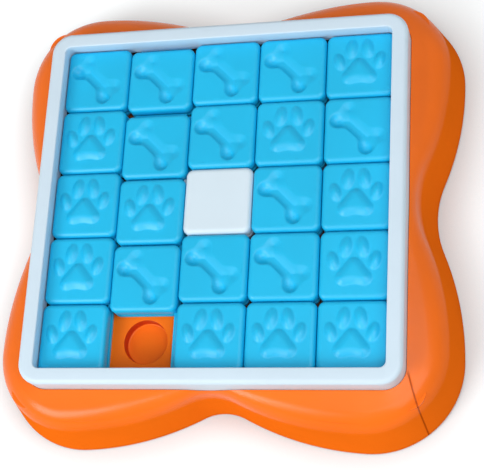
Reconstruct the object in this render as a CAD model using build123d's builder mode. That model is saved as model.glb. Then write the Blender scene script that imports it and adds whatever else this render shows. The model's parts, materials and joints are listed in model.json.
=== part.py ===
from build123d import *
from math import atan2, cos, degrees, hypot, radians, sin, tan
import os

# A sliding-tile treat puzzle for dogs, in millimetres.
# The origin is on the table under the middle of the toy, +Z is up and -Y is the front.
# Rows run from the back to the front and columns from the left to the right.

# ---------------------------------------------------------------- driving dimensions

# The board, one letter for each cell: B bone tile, P paw tile, W fixed white block, dot no tile.
layout = ["BBBBP", "PBBPB", "PPWBP", "PBBBP", "P.PPP"]
cells = len(layout)
pitch = 42.0  # from one cell to the next
slack_column = 2  # the column behind the empty cell, whose tiles have slipped forward
column_slip = [2.2, 5.0, 5.4, 5.7]  # how far each of its tiles has slipped, from the back

# Sliding tiles
tile_gap = 0.5  # between neighbours
tile_height = 12.0
tile_corner = 4.5
tile_edge_round = 3.0
tile_top_wall = 2.6
tile_side_wall = 6.2  # thick enough to carry a groove
tile_web = 1.6
tongue_reach = 3.2
tongue_thickness = 2.4
tongue_end_gap = 4.0  # from the end of a tongue to the side of its tile
groove_depth = 3.7
groove_play = 0.4  # above and below a tongue
groove_lip = 2.2
slide_clearance = 0.2  # under each tile

# Marks on the tiles
bone_depth = 1.2
bone_half_length = 12.5
bone_knob_radius = 4.6
bone_knob_spread = 4.8
bone_shaft_width = 10.0
bone_angle = -45.0
bone_shift = -0.6  # of the whole bone to the left, and as far to the back
paw_height = 1.2
paw_shift = -0.5  # of the whole paw to the left
paw_heel_radius = 4.2
paw_heel_spread = 6.75
paw_heel_back = -8.7
paw_tip_radius = 3.7
paw_tip_back = 0.4
paw_notch_radius = 9.0
paw_notch_depth = 0.8
paw_inner_toe = (4.9, 10.2)
paw_inner_toe_size = (7.8, 13.4)
paw_inner_toe_turn = -9.0
paw_outer_toe = (12.2, 2.1)
paw_outer_toe_size = (7.2, 12.0)
paw_outer_toe_turn = 15.0

# Levels above the table
skirt_bottom = 1.5
deck_level = 37.8
frame_seat_level = 40.5
shoulder_level = 43.8  # where the shoulder meets the frame
frame_rise = 8.5  # of the frame's top above the tiles

# Base outline: a concave waist in the middle of each side, convex flanks and round lobes
side_waist_land = 2.3  # left of the shoulder beside the frame, on the left and on the right
side_waist_lean = 10.5  # of the wall there, outwards from the shoulder to the skirt's edge
side_waist_radius = 60.0
front_waist_land = 0.8  # the same at the front and at the back
front_waist_lean = 5.5
front_waist_radius = 28.0
flank_radius = 180.0
lobe_set_in = 25.0  # from the frame's outside to the centre of a lobe
lobe_radius = 54.2
wall_draft = 13.0  # of the lobes
shoulder_slope = 12.0
ridge_round = 9.0
base_wall = 2.8
deck_thickness = 3.0

# Treat cups in the floor
cup_radius = 13.5
cup_depth = 7.0
cup_wall = 2.2
cup_floor_round = 0.6
rib_thickness = 2.0

# Frame
frame_gap = 0.4  # between the outer tiles and the frame
frame_width = 8.4
frame_wall = 2.4
frame_corner = 13.0
frame_outer_round = 3.0
frame_inner_chamfer = 0.6
rim_thickness = 2.6
rim_height = 12.0
rim_clearance = 0.3
hook_width = 12.0
hook_thickness = 1.8
hook_barb = 1.2
hook_clearance = 0.25

# Screw of the white block, and the rubber feet
screw_radius = 1.5
screw_head_radius = 3.2
screw_head_height = 2.0
screw_length = 12.0
screw_boss_radius = 5.5
screw_boss_height = 2.0
screw_clearance = 0.3
thread_clearance = 0.1
foot_radius = 9.0
foot_thickness = 3.0
foot_stem_radius = 2.5
foot_stem_length = 6.0
foot_clearance = 0.15
foot_boss_radius = 11.5
foot_beyond_lobe = 24.0  # from the centre of a lobe, along each side

# ---------------------------------------------------------------- derived sizes

tile_size = pitch - tile_gap
tile_bottom = deck_level + slide_clearance
tile_top = tile_bottom + tile_height
frame_top = tile_top + frame_rise
field_half = (cells - 1) / 2 * pitch + tile_size / 2
frame_inner = field_half + frame_gap
frame_outer = frame_inner + frame_width
wall_height = shoulder_level - skirt_bottom
lobe_centre = frame_outer - lobe_set_in
frame_inner_corner = tile_corner + frame_gap
frame_void_outer = frame_outer - frame_wall
rim_outer = frame_void_outer - rim_clearance
rim_inner = rim_outer - rim_thickness
corner_centre = frame_outer - frame_corner  # centre of the rounding at each corner
tongue_low = groove_lip + groove_play
groove_height = tongue_thickness + 2 * groove_play
tongue_level = tile_bottom + tongue_low
deck_bottom = deck_level - deck_thickness
void_top = frame_seat_level - base_wall
cell_places = [(index - (cells - 1) / 2) * pitch for index in range(cells)]
hook_offset = 1.5 * pitch  # from the middle of a side
foot_place = lobe_centre + foot_beyond_lobe
foot_places = [(x * foot_place, y * foot_place) for x in (-1, 1) for y in (-1, 1)]

os.makedirs("parts", exist_ok=True)


def write_part(part, label):
    """Label a finished piece and write it as one STEP file."""
    part.label = label
    export_step(part, f"parts/{label}.step")


# ---------------------------------------------------------------- shared outlines


def flank_centre(waist_x, waist, flank, lobe):
    """Centre of the flank arc above a waist on the right, from that waist's centre and the three radii.

    The flank touches the waist circle from outside and holds the lobe circle inside it.
    """
    run, rise = lobe_centre - waist_x, lobe_centre
    span = hypot(run, rise)
    to_waist = waist + flank
    to_lobe = flank - lobe
    along = (to_waist**2 - to_lobe**2 + span**2) / (2 * span)
    aside = (to_waist**2 - along**2) ** 0.5
    return waist_x + (run * along - rise * aside) / span, (rise * along + run * aside) / span


def turned(x, y, angle):
    """The point (x, y) turned about the origin by an angle in degrees."""
    turn = radians(angle)
    return x * cos(turn) - y * sin(turn), x * sin(turn) + y * cos(turn)


def lobed_face(level, inset=0):
    """Draw the four-lobed outline of the wall at a level, moved inwards by inset, as a face of the current sketch."""
    rise = level - skirt_bottom
    draft = rise * tan(radians(wall_draft))
    flank, lobe = flank_radius - draft, lobe_radius - draft
    sides = []
    for land, lean, radius in (
        (side_waist_land, side_waist_lean, side_waist_radius),
        (front_waist_land, front_waist_lean, front_waist_radius),
    ):
        lean_left = lean * (1 - rise / wall_height)
        waist = radius + lean - lean_left
        waist_x = frame_outer + land + lean_left + waist
        flank_x, flank_y = flank_centre(waist_x, waist, flank, lobe)
        waist_turn = degrees(atan2(flank_y, flank_x - waist_x))
        lobe_turn = degrees(atan2(lobe_centre - flank_y, lobe_centre - flank_x))
        sides.append((waist_x, waist, flank_x, flank_y, waist_turn, lobe_turn))
    with BuildLine() as outline:
        for quarter in range(4):
            turn = 90 * quarter
            waist_x, waist, flank_x, flank_y, waist_turn, lobe_turn = sides[quarter % 2]
            _, _, next_x, next_y, next_waist_turn, next_lobe_turn = sides[(quarter + 1) % 2]
            sweep, next_sweep = lobe_turn + 180 - waist_turn, next_lobe_turn + 180 - next_waist_turn
            lobe_place = turned(lobe_centre, lobe_centre, turn)
            CenterArc(turned(waist_x, 0, turn), waist + inset, waist_turn + turn, 360 - 2 * waist_turn)
            CenterArc(turned(flank_x, flank_y, turn), flank - inset, waist_turn - 180 + turn, sweep)
            CenterArc(lobe_place, lobe - inset, lobe_turn + turn, 90 - lobe_turn - next_lobe_turn)
            CenterArc(turned(next_y, next_x, turn), flank - inset, 90 - next_lobe_turn + turn, next_sweep)
    make_face(outline.edges())


def hook_places(distance):
    """Two places along each side of the frame, at a distance from the middle of the toy."""
    sides = [(90 * quarter, offset) for quarter in range(4) for offset in (-hook_offset, hook_offset)]
    return [Location((*turned(distance, offset, turn), 0), (0, 0, turn)) for turn, offset in sides]


def square(half, mode=Mode.ADD):
    """Draw a square of the given half width, with corners rounded about the frame's corner centres."""
    RectangleRounded(2 * half, 2 * half, half - corner_centre, mode=mode)


def opening(outset=0, mode=Mode.ADD):
    """Draw the frame's opening, moved outwards by outset."""
    half = frame_inner + outset
    RectangleRounded(2 * half, 2 * half, frame_inner_corner + outset, mode=mode)


# ---------------------------------------------------------------- base tray

dome_inner = corner_centre + 1.5
dome_outer = lobe_centre + lobe_radius + 12.0
dome_rate = tan(radians(shoulder_slope))
dome_high = shoulder_level + (frame_outer - dome_inner) * dome_rate
dome_low = shoulder_level - (dome_outer - frame_outer) * dome_rate

# The drafted room inside the wall, with the floor pan standing in it
with BuildPart() as wall_void:
    with BuildSketch(Plane.XY):
        lobed_face(0, base_wall)
    with BuildSketch(Plane.XY.offset(void_top)):
        lobed_face(void_top, base_wall)
    loft(ruled=True)
    with BuildSketch(Plane.XY.offset(deck_bottom)):
        square(rim_outer)
    extrude(amount=void_top, mode=Mode.SUBTRACT)

# The sloping shoulder, as a wide low pyramid with rounded corners
with BuildPart() as shoulder_form:
    with BuildSketch(Plane.XY.offset(dome_low)):
        square(dome_outer)
    with BuildSketch(Plane.XY.offset(dome_high)):
        square(dome_inner)
    loft(ruled=True)
    with BuildSketch(Plane.XY):
        square(dome_outer)
    extrude(amount=dome_low)

cup_places = [
    (cell_places[column], -cell_places[row])
    for row in range(cells)
    for column in range(cells)
    if layout[row][column] != "W"
]

screw_face = deck_bottom - screw_boss_height
slot_reach = rim_clearance + hook_thickness + hook_barb + hook_clearance
slot_centre = rim_outer + slot_reach / 2

with BuildPart() as base_tray:
    with BuildSketch(Plane.XY.offset(skirt_bottom)):
        lobed_face(skirt_bottom)
    with BuildSketch(Plane.XY.offset(dome_high)):
        lobed_face(dome_high)
    loft(ruled=True)
    add(shoulder_form.part, mode=Mode.INTERSECT)
    walls = base_tray.faces().filter_by(lambda face: abs(face.normal_at().Z) < 0.5)
    ridge = [edge for edge in walls.edges() if edge.bounding_box().min.Z > void_top]
    fillet(ridge, ridge_round)
    add(wall_void.part, mode=Mode.SUBTRACT)
    # the sunk floor, the seat of the frame's outer wall and the rim between them
    with BuildSketch(Plane.XY.offset(deck_level)):
        square(rim_inner)
    extrude(amount=dome_high, mode=Mode.SUBTRACT)
    with BuildSketch(Plane.XY.offset(frame_seat_level)):
        square(frame_outer + rim_clearance)
        square(rim_outer, mode=Mode.SUBTRACT)
    extrude(amount=dome_high, mode=Mode.SUBTRACT)
    with BuildSketch(Plane.XY.offset(frame_seat_level)):
        square(rim_outer)
        square(rim_inner, mode=Mode.SUBTRACT)
    extrude(amount=rim_height)
    # stiffening ribs under the floor, one between each two cells
    with BuildSketch(Plane.XY.offset(deck_bottom - cup_depth)):
        for line in [(index - cells / 2) * pitch for index in range(1, cells)]:
            with Locations((line, 0)):
                Rectangle(rib_thickness, 2 * rim_inner)
            with Locations((0, line)):
                Rectangle(2 * rim_inner, rib_thickness)
    extrude(amount=cup_depth)
    # treat cups
    with BuildSketch(Plane.XY.offset(deck_level - cup_depth - cup_wall)):
        with Locations(cup_places):
            Circle(cup_radius + cup_wall)
    extrude(amount=cup_depth)
    with BuildSketch(Plane.XY.offset(deck_level)):
        with Locations(cup_places):
            Circle(cup_radius)
    extrude(amount=-cup_depth, mode=Mode.SUBTRACT)
    cup_floors = base_tray.faces().filter_by_position(Axis.Z, deck_level - cup_depth, deck_level - cup_depth)
    fillet(cup_floors.edges(), cup_floor_round)
    # slots for the frame's hooks, through the seat on all four sides
    with BuildSketch(Plane.XY.offset(frame_seat_level)):
        with Locations(hook_places(slot_centre)):
            Rectangle(slot_reach, hook_width + 2 * hook_clearance)
    extrude(amount=-base_wall, mode=Mode.SUBTRACT)
    # boss and stepped hole of the white block's screw
    with BuildSketch(Plane.XY.offset(screw_face)):
        Circle(screw_boss_radius)
    extrude(amount=deck_bottom - screw_face)
    with BuildSketch(Plane.XY.offset(screw_face)):
        Circle(screw_radius + screw_clearance)
    extrude(amount=deck_level - screw_face, mode=Mode.SUBTRACT)
    # bosses of the feet, with a shallow seat and a hole for the stem
    with BuildSketch(Plane.XY.offset(skirt_bottom)):
        with Locations(foot_places):
            Circle(foot_boss_radius)
    extrude(amount=void_top - skirt_bottom)
    with BuildSketch(Plane.XY.offset(skirt_bottom)):
        with Locations(foot_places):
            Circle(foot_radius + foot_clearance)
    extrude(amount=foot_thickness - skirt_bottom, mode=Mode.SUBTRACT)
    with BuildSketch(Plane.XY.offset(foot_thickness)):
        with Locations(foot_places):
            Circle(foot_stem_radius + foot_clearance)
    extrude(amount=foot_stem_length + foot_clearance, mode=Mode.SUBTRACT)

write_part(base_tray.part, "base_tray")

# ---------------------------------------------------------------- frame

tongue_room_top = tongue_level + tongue_thickness + groove_play
wall_foot = deck_level + hook_clearance
rib_length = 2 * (corner_centre - tongue_end_gap)
hook_bottom = void_top - hook_clearance - 2 * hook_barb
hook_centre = frame_void_outer + hook_thickness / 2
barb_centre = frame_void_outer + hook_thickness + hook_barb / 2


def inner_wall_ring():
    """Draw the frame's inner wall in plan."""
    opening(frame_wall)
    opening(mode=Mode.SUBTRACT)


with BuildPart() as frame:
    # a hollow moulding: outer wall, inner wall and the top between them
    with BuildSketch(Plane.XY.offset(frame_seat_level)):
        square(frame_outer)
        opening(mode=Mode.SUBTRACT)
    extrude(amount=frame_top - frame_seat_level)
    top_face = frame.faces().sort_by(Axis.Z)[-1]
    fillet(top_face.outer_wire().edges(), frame_outer_round)
    top_face = frame.faces().sort_by(Axis.Z)[-1]
    chamfer(top_face.inner_wires()[0].edges(), frame_inner_chamfer)
    with BuildSketch(Plane.XY.offset(frame_seat_level)):
        square(frame_void_outer)
        opening(frame_wall, mode=Mode.SUBTRACT)
    extrude(amount=frame_top - frame_wall - frame_seat_level, mode=Mode.SUBTRACT)
    # on the left and at the back the inner wall ends above the tongues of the tiles
    with BuildSketch(Plane.XY.offset(frame_seat_level)):
        inner_wall_ring()
        with Locations((-frame_wall, frame_wall)):
            Rectangle(2 * frame_inner, 2 * frame_inner, mode=Mode.INTERSECT)
    extrude(amount=tongue_room_top - frame_seat_level, mode=Mode.SUBTRACT)
    # on the right and in front it goes down to the floor
    with BuildSketch(Plane.XY.offset(wall_foot)):
        inner_wall_ring()
        with Locations((-frame_wall, frame_wall)):
            Rectangle(2 * frame_inner, 2 * frame_inner, mode=Mode.SUBTRACT)
    extrude(amount=frame_seat_level - wall_foot)
    # and carries a rib there, which stands in the grooves of the tiles
    with BuildSketch(Plane.XY.offset(tongue_level)):
        with Locations((frame_inner + frame_wall / 2 - tongue_reach / 2, 0)):
            Rectangle(frame_wall + tongue_reach, rib_length)
        with Locations((0, -frame_inner - frame_wall / 2 + tongue_reach / 2)):
            Rectangle(rib_length, frame_wall + tongue_reach)
    extrude(amount=tongue_thickness)
    # hooks under the outer wall, which catch below the seat
    with BuildSketch(Plane.XY.offset(hook_bottom)):
        with Locations(hook_places(hook_centre)):
            Rectangle(hook_thickness, hook_width)
    extrude(amount=frame_seat_level - hook_bottom)
    with BuildSketch(Plane.XY.offset(hook_bottom)):
        with Locations(hook_places(barb_centre)):
            Rectangle(hook_barb, hook_width)
    extrude(amount=2 * hook_barb)

write_part(frame.part, "frame")

# ---------------------------------------------------------------- tiles

pocket_size = (tile_size - 2 * tile_side_wall - tile_web) / 2
tongue_length = tile_size - 2 * tongue_end_gap

with BuildPart() as plain_tile:
    with BuildSketch():
        RectangleRounded(tile_size, tile_size, tile_corner)
    extrude(amount=tile_height)
    fillet(plain_tile.faces().sort_by(Axis.Z)[-1].edges(), tile_edge_round)
    # hollow below, with a cross web
    with BuildSketch():
        with GridLocations(pocket_size + tile_web, pocket_size + tile_web, 2, 2):
            Rectangle(pocket_size, pocket_size)
    extrude(amount=tile_height - tile_top_wall, mode=Mode.SUBTRACT)
    # tongues on the left and at the back
    with BuildSketch(Plane.XY.offset(tongue_low)):
        with Locations((-(tile_size + tongue_reach) / 2, 0)):
            Rectangle(tongue_reach, tongue_length)
        with Locations((0, (tile_size + tongue_reach) / 2)):
            Rectangle(tongue_length, tongue_reach)
    extrude(amount=tongue_thickness)
    # grooves on the right and in front, over a thin lip
    with BuildSketch(Plane.XY.offset(groove_lip)):
        with Locations(((tile_size - groove_depth) / 2, 0)):
            Rectangle(groove_depth, tile_size)
        with Locations((0, -(tile_size - groove_depth) / 2)):
            Rectangle(tile_size, groove_depth)
    extrude(amount=groove_height, mode=Mode.SUBTRACT)

# A sunk bone along the diagonal
with BuildPart() as bone_tile:
    add(plain_tile.part)
    with BuildSketch(Plane.XY.offset(tile_height)):
        with Locations(Location((bone_shift, -bone_shift, 0), (0, 0, bone_angle))):
            Rectangle(2 * bone_half_length, bone_shaft_width)
            with GridLocations(2 * bone_half_length, 2 * bone_knob_spread, 2, 2):
                Circle(bone_knob_radius)
    extrude(amount=-bone_depth, mode=Mode.SUBTRACT)

# A raised paw print
with BuildPart() as paw_tile:
    add(plain_tile.part)
    with BuildSketch(Plane.XY.offset(tile_height)):
        with Locations([(paw_shift + side * paw_heel_spread, paw_heel_back) for side in (-1, 1)]):
            Circle(paw_heel_radius)
        with Locations((paw_shift, paw_tip_back)):
            Circle(paw_tip_radius)
        make_hull()
        with Locations((paw_shift, paw_heel_back - paw_heel_radius - paw_notch_radius + paw_notch_depth)):
            Circle(paw_notch_radius, mode=Mode.SUBTRACT)
        for side in (-1, 1):
            with Locations((paw_shift + side * paw_inner_toe[0], paw_inner_toe[1])):
                width, length = paw_inner_toe_size
                Ellipse(width / 2, length / 2, rotation=-side * paw_inner_toe_turn)
            with Locations((paw_shift + side * paw_outer_toe[0], paw_outer_toe[1])):
                width, length = paw_outer_toe_size
                Ellipse(width / 2, length / 2, rotation=-side * paw_outer_toe_turn)
    extrude(amount=paw_height)

marked_tiles = {"B": ("bone_tile", bone_tile.part), "P": ("paw_tile", paw_tile.part)}

for row in range(cells):
    for column in range(cells):
        if layout[row][column] not in marked_tiles:
            continue
        kind, shape = marked_tiles[layout[row][column]]
        slip = column_slip[row] if column == slack_column - 1 else 0
        place = Location((cell_places[column], -cell_places[row] - slip, tile_bottom))
        with BuildPart() as tile:
            add(shape.moved(place))
        write_part(tile.part, f"{kind}_row{row + 1}_column{column + 1}")

# ---------------------------------------------------------------- white block in the middle

block_row = [row for row in range(cells) if "W" in layout[row]][0]
block_x = cell_places[layout[block_row].index("W")]
block_y = -cell_places[block_row]
block_boss_height = screw_length - (tile_bottom - screw_face) + screw_clearance

with BuildPart() as centre_block:
    add(plain_tile.part)
    with BuildSketch():
        Circle(screw_boss_radius)
    extrude(amount=tile_height - tile_top_wall)
    with BuildSketch():
        Circle(screw_radius + thread_clearance)
    extrude(amount=block_boss_height, mode=Mode.SUBTRACT)

write_part(centre_block.part.moved(Location((block_x, block_y, tile_bottom))), "centre_block")

with BuildPart() as block_screw:
    with BuildSketch(Plane.XY.offset(screw_face - screw_head_height)):
        with Locations((block_x, block_y)):
            Circle(screw_head_radius)
    extrude(amount=screw_head_height)
    with BuildSketch(Plane.XY.offset(screw_face)):
        with Locations((block_x, block_y)):
            Circle(screw_radius)
    extrude(amount=screw_length)

write_part(block_screw.part, "block_screw")

# ---------------------------------------------------------------- rubber feet

foot_names = {(-1, -1): "front_left", (1, -1): "front_right", (-1, 1): "back_left", (1, 1): "back_right"}

for (side_x, side_y), name in foot_names.items():
    with BuildPart() as foot:
        with BuildSketch():
            with Locations((side_x * foot_place, side_y * foot_place)):
                Circle(foot_radius)
        extrude(amount=foot_thickness)
        with BuildSketch(Plane.XY.offset(foot_thickness)):
            with Locations((side_x * foot_place, side_y * foot_place)):
                Circle(foot_stem_radius)
        extrude(amount=foot_stem_length)
    write_part(foot.part, f"foot_{name}")
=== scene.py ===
"""The looks of a sliding-tile treat puzzle for dogs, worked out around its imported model.

Lengths are in metres. The origin is on the table under the middle of the toy, +Z is up and -Y is its front.
Rows run from the back to the front and columns from the left to the right.
"""

import json
import math

import bmesh
import bpy
import numpy as np
from bpy.props import FloatProperty, FloatVectorProperty, PointerProperty
from bpy.types import Operator, Panel, PropertyGroup
from mathutils import Euler, Matrix, Vector


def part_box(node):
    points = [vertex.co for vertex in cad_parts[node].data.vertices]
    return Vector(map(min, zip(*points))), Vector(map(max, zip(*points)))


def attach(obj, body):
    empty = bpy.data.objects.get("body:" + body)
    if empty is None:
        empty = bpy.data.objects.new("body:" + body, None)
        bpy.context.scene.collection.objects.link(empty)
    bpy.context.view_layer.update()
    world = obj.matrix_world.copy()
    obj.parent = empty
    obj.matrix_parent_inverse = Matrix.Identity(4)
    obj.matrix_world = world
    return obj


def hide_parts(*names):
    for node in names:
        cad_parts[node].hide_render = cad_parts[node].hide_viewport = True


bl_info = {
    "name": "Sliding-tile treat puzzle",
    "version": (1, 0, 0),
    "blender": (4, 5, 0),
    "location": "View3D > Sidebar > Treat puzzle",
    "description": "Builds the visible pieces of a sliding-tile treat puzzle around its packed model",
    "category": "Mesh",
}

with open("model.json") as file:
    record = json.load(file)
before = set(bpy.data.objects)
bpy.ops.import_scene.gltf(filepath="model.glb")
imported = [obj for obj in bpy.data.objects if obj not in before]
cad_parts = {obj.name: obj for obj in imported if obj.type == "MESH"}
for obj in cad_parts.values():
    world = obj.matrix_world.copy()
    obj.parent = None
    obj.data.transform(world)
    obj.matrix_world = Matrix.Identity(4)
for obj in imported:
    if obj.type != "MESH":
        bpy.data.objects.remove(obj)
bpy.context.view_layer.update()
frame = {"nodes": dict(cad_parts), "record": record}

tray_low, tray_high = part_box("base_tray")
ring_low, ring_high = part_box("frame")
block_low, block_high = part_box("centre_block")
screw_low, screw_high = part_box("block_screw")
foot_low, foot_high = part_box("foot_back_right")

TILE_NODES = sorted(name for name in frame["nodes"] if "_tile_" in name)
FOOT_NODES = sorted(name for name in frame["nodes"] if name.startswith("foot_"))
BODIES = frame["record"]["behaviour"]["bodies"]
BODY_OF_NODE = {node: body for body, nodes in BODIES.items() for node in nodes}
BOARD = BODY_OF_NODE["base_tray"]


def length(name, value, description):
    """A property that holds a length in metres."""
    return FloatProperty(name=name, default=value, unit="LENGTH", precision=5, description=description)


def two_lengths(name, value, description):
    """A property that holds two lengths in metres."""
    return FloatVectorProperty(name=name, default=value, size=2, unit="LENGTH", precision=5,
                               description=description)


def tilt(name, value, description):
    """A property that holds an angle, given in degrees."""
    return FloatProperty(name=name, default=math.radians(value), subtype="ANGLE", description=description)


def colour(name, value, description):
    """A property that holds a linear colour."""
    return FloatVectorProperty(name=name, default=value, subtype="COLOR", size=3, min=0, max=1,
                               description=description)


# ---------------------------------------------------------------- sizes and colours


class PuzzleBase(PropertyGroup):
    """Sizes of the base."""

    skirt_bottom: length("Skirt bottom", tray_low.z, "Level of the skirt's lower edge")
    shoulder_level: length("Shoulder level", 0.0438, "Level at which the shoulder meets the frame")
    shoulder_slope: tilt("Shoulder slope", 12, "Fall of the shoulder away from the frame")
    wall_draft: tilt("Wall draft", 13, "Lean of the wall at the lobes")
    wall: length("Wall", 0.0028, "Thickness of the moulding")
    ridge_round: length("Ridge round", 0.009, "Radius between the skirt and the shoulder beside the frame")
    lobe_round: length("Lobe round", 0.016, "The same radius where the shoulder is widest")
    foot_round: length("Lower edge round", 0.0007, "Radius on the skirt's lower edge")
    side_land: length("Side land", 0.0023, "Shoulder left beside the frame at the left and right waists")
    side_lean: length("Side lean", 0.0105, "How far the wall leans out there down to the skirt's edge")
    side_radius: length("Side waist radius", 0.060, "Radius of the hollow there")
    front_land: length("Front land", 0.0008, "Shoulder left at the waists at the front and the back")
    front_lean: length("Front lean", 0.0055, "How far the wall leans out there")
    front_radius: length("Front waist radius", 0.028, "Radius of the hollow there")
    flank_radius: length("Flank radius", 0.18, "Radius between a waist and a lobe")
    lobe_set_in: length("Lobe set-in", 0.025, "From the frame's outside to the centre of a lobe")
    lobe_radius: length("Lobe radius", 0.0542, "Radius of the four lobes at the skirt's edge")
    seat_level: length("Frame seat level", 0.0405, "Level of the ledge that the frame stands on")
    rim_top: length("Rim top", tray_high.z, "Level of the rim inside the frame")
    deck_level: length("Floor level", block_low.z - 0.0002, "Level on which the tiles slide")
    deck_thickness: length("Floor thickness", 0.003, "Thickness of the floor")
    cup_radius: length("Cup radius", 0.0135, "Radius of each treat cup")
    cup_depth: length("Cup depth", 0.007, "Depth of each treat cup")
    cup_round: length("Cup round", 0.0014, "Radius between a cup's wall and its bottom")
    cup_lip: length("Cup lip", 0.0003, "Radius on a cup's edge")
    cup_wall: length("Cup wall", 0.0022, "Thickness of a cup's wall")
    rib: length("Rib", 0.002, "Thickness of the ribs under the floor")


class PuzzleFrame(PropertyGroup):
    """Sizes of the frame."""

    gap: length("Gap", 0.0004, "Between the outer tiles and the frame")
    width: length("Width", 0.0084, "From the frame's opening to its outside")
    wall: length("Wall", 0.0024, "Thickness of the moulding")
    corner: length("Corner", 0.013, "Radius of the outer corners, in plan")
    outer_round: length("Outer round", 0.003, "Radius on the outer upper edge")
    inner_round: length("Inner round", 0.0008, "Radius on the inner upper edge")
    lip: length("Lip", 0.0011, "How far the inner upper edge stands over the tiles")
    lip_height: length("Lip height", 0.0100, "From the frame's top to where that lip starts")
    clearance: length("Clearance", 0.0003, "Between the frame and the base")
    rim: length("Rim", 0.0026, "Thickness of the base's rim inside the frame")
    rib_reach: length("Rib reach", 0.0032, "How far the ribs stand into the tiles' grooves")


class PuzzleTile(PropertyGroup):
    """Sizes of a tile."""

    pitch: length("Pitch", 0.042, "From one tile to the next")
    size: length("Size", 0.0415, "Width of a tile without its tongues")
    corner: length("Corner", 0.0045, "Radius of the corners, in plan")
    edge_round: length("Edge round", 0.003, "Radius on the upper edge")
    side_wall: length("Side wall", 0.0062, "Thickness of the sides")
    top_wall: length("Top wall", 0.0026, "Thickness of the top")
    web: length("Web", 0.0016, "Thickness of the cross under the top")
    tongue_low: length("Tongue level", 0.0026, "From the tile's bottom to its tongues")
    tongue_thickness: length("Tongue thickness", 0.0024, "Thickness of a tongue")
    tongue_reach: length("Tongue reach", 0.0032, "How far a tongue stands out")
    tongue_end: length("Tongue end", 0.004, "From the end of a tongue to the side of its tile")
    groove_low: length("Groove level", 0.0022, "From the tile's bottom to its grooves")
    groove_height: length("Groove height", 0.0032, "Height of a groove")
    groove_depth: length("Groove depth", 0.0037, "Depth of a groove")


class PuzzleMarks(PropertyGroup):
    """Sizes of the marks on the tiles."""

    lip: length("Lip", 0.0002, "Softness of the line where a mark meets the flat top")
    bone_depth: length("Bone depth", 0.0032, "Depth of the sunk bone in its middle")
    bone_shift: length("Bone shift", 0.0006, "Shift of the bone to the left and to the back")
    bone_half_length: length("Bone length", 0.0125, "From the bone's middle to the centres of its knobs")
    bone_knob: length("Bone knob", 0.0049, "Radius of a knob")
    bone_spread: length("Bone spread", 0.0049, "From the bone's axis to the centre of a knob")
    bone_shaft: length("Bone shaft", 0.005, "Half the width of the bone's shaft")
    bone_near: length("Bone near slope", 0.0042, "Width of the slope on the bone's front left side")
    bone_far: length("Bone far slope", 0.0150, "Width of the slope on its other side")
    paw_height: length("Paw height", 0.0020, "Height of the raised paw print")
    paw_shift: length("Paw shift", -0.0005, "Shift of the paw print to the right")
    heel_tip: length("Heel tip", -0.0004, "From the tile's middle back to the centre of the heel's tip")
    heel_back: length("Heel back", -0.0082, "From the tile's middle back to the centres of its lower corners")
    heel_spread: length("Heel spread", 0.0061, "From the middle line to those centres")
    heel_round: length("Heel round", 0.0047, "Radius of the heel's corners")
    heel_notch: length("Heel notch", 0.0008, "Depth of the notch in the heel's foot")
    toe_size: two_lengths("Inner toe size", (0.0039, 0.0067), "Half width and length of the inner toes")
    toe_place: two_lengths("Inner toe place", (0.0049, 0.0102), "Place of inner toes, across and back")
    side_toe_size: two_lengths("Outer toe size", (0.0036, 0.0060), "Half width and length of the outer toes")
    side_toe_place: two_lengths("Outer toe place", (0.0122, 0.0021), "Place of outer toes, across and back")


class PuzzleFastenings(PropertyGroup):
    """Sizes of the feet and of the screw."""

    foot_round: length("Foot round", 0.0008, "Radius on a foot's lower edge")
    foot_hollow: length("Foot hollow", 0.0004, "Depth of the hollow in a foot's underside")
    foot_disc: length("Foot disc", 0.003, "Level of the upper face of a foot's disc")
    foot_stem: length("Foot stem", 0.0025, "Radius of a foot's stem")
    foot_play: length("Foot play", 0.00015, "Between a foot and the boss that it sits in")
    boss_wall: length("Boss wall", 0.0025, "Thickness of that boss round the foot")
    head: length("Screw head", 0.002, "Height of the screw's head")
    head_dome: length("Screw dome", 0.0009, "How far the head's face falls back towards its rim")
    shank: length("Screw shank", 0.0015, "Radius of the screw's shank")
    slot_half: length("Slot half", 0.00045, "Half the width of the cross in the head")
    slot_reach: length("Slot reach", 0.0019, "From the middle of the cross to its ends")
    slot_depth: length("Slot depth", 0.0011, "Depth of the cross")


class PuzzleColours(PropertyGroup):
    """Colours of the plastics."""

    base: colour("Base", (0.91, 0.160, 0.007), "Orange of the base")
    tile: colour("Tiles", (0.004, 0.47, 0.78), "Blue of the tiles")
    frame: colour("Frame", (0.62, 0.75, 0.85), "Cool white of the frame")
    block: colour("Block", (0.66, 0.78, 0.86), "White of the middle block")
    rubber: colour("Feet", (0.035, 0.035, 0.037), "Dark grey of the feet")


# ---------------------------------------------------------------- meshes


def grid_faces(rows, columns, wrap_rows=False, wrap_columns=False):
    """Quads of a grid of points: each joins a point to the next in its row and the two above them."""
    row = np.arange(rows if wrap_rows else rows - 1)
    column = np.arange(columns if wrap_columns else columns - 1)
    row, column = np.meshgrid(row, column, indexing="ij")
    next_row, next_column = (row + 1) % rows, (column + 1) % columns
    corners = [row * columns + column, row * columns + next_column,
               next_row * columns + next_column, next_row * columns + column]
    return np.stack(corners, -1).reshape(-1, 4)


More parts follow.
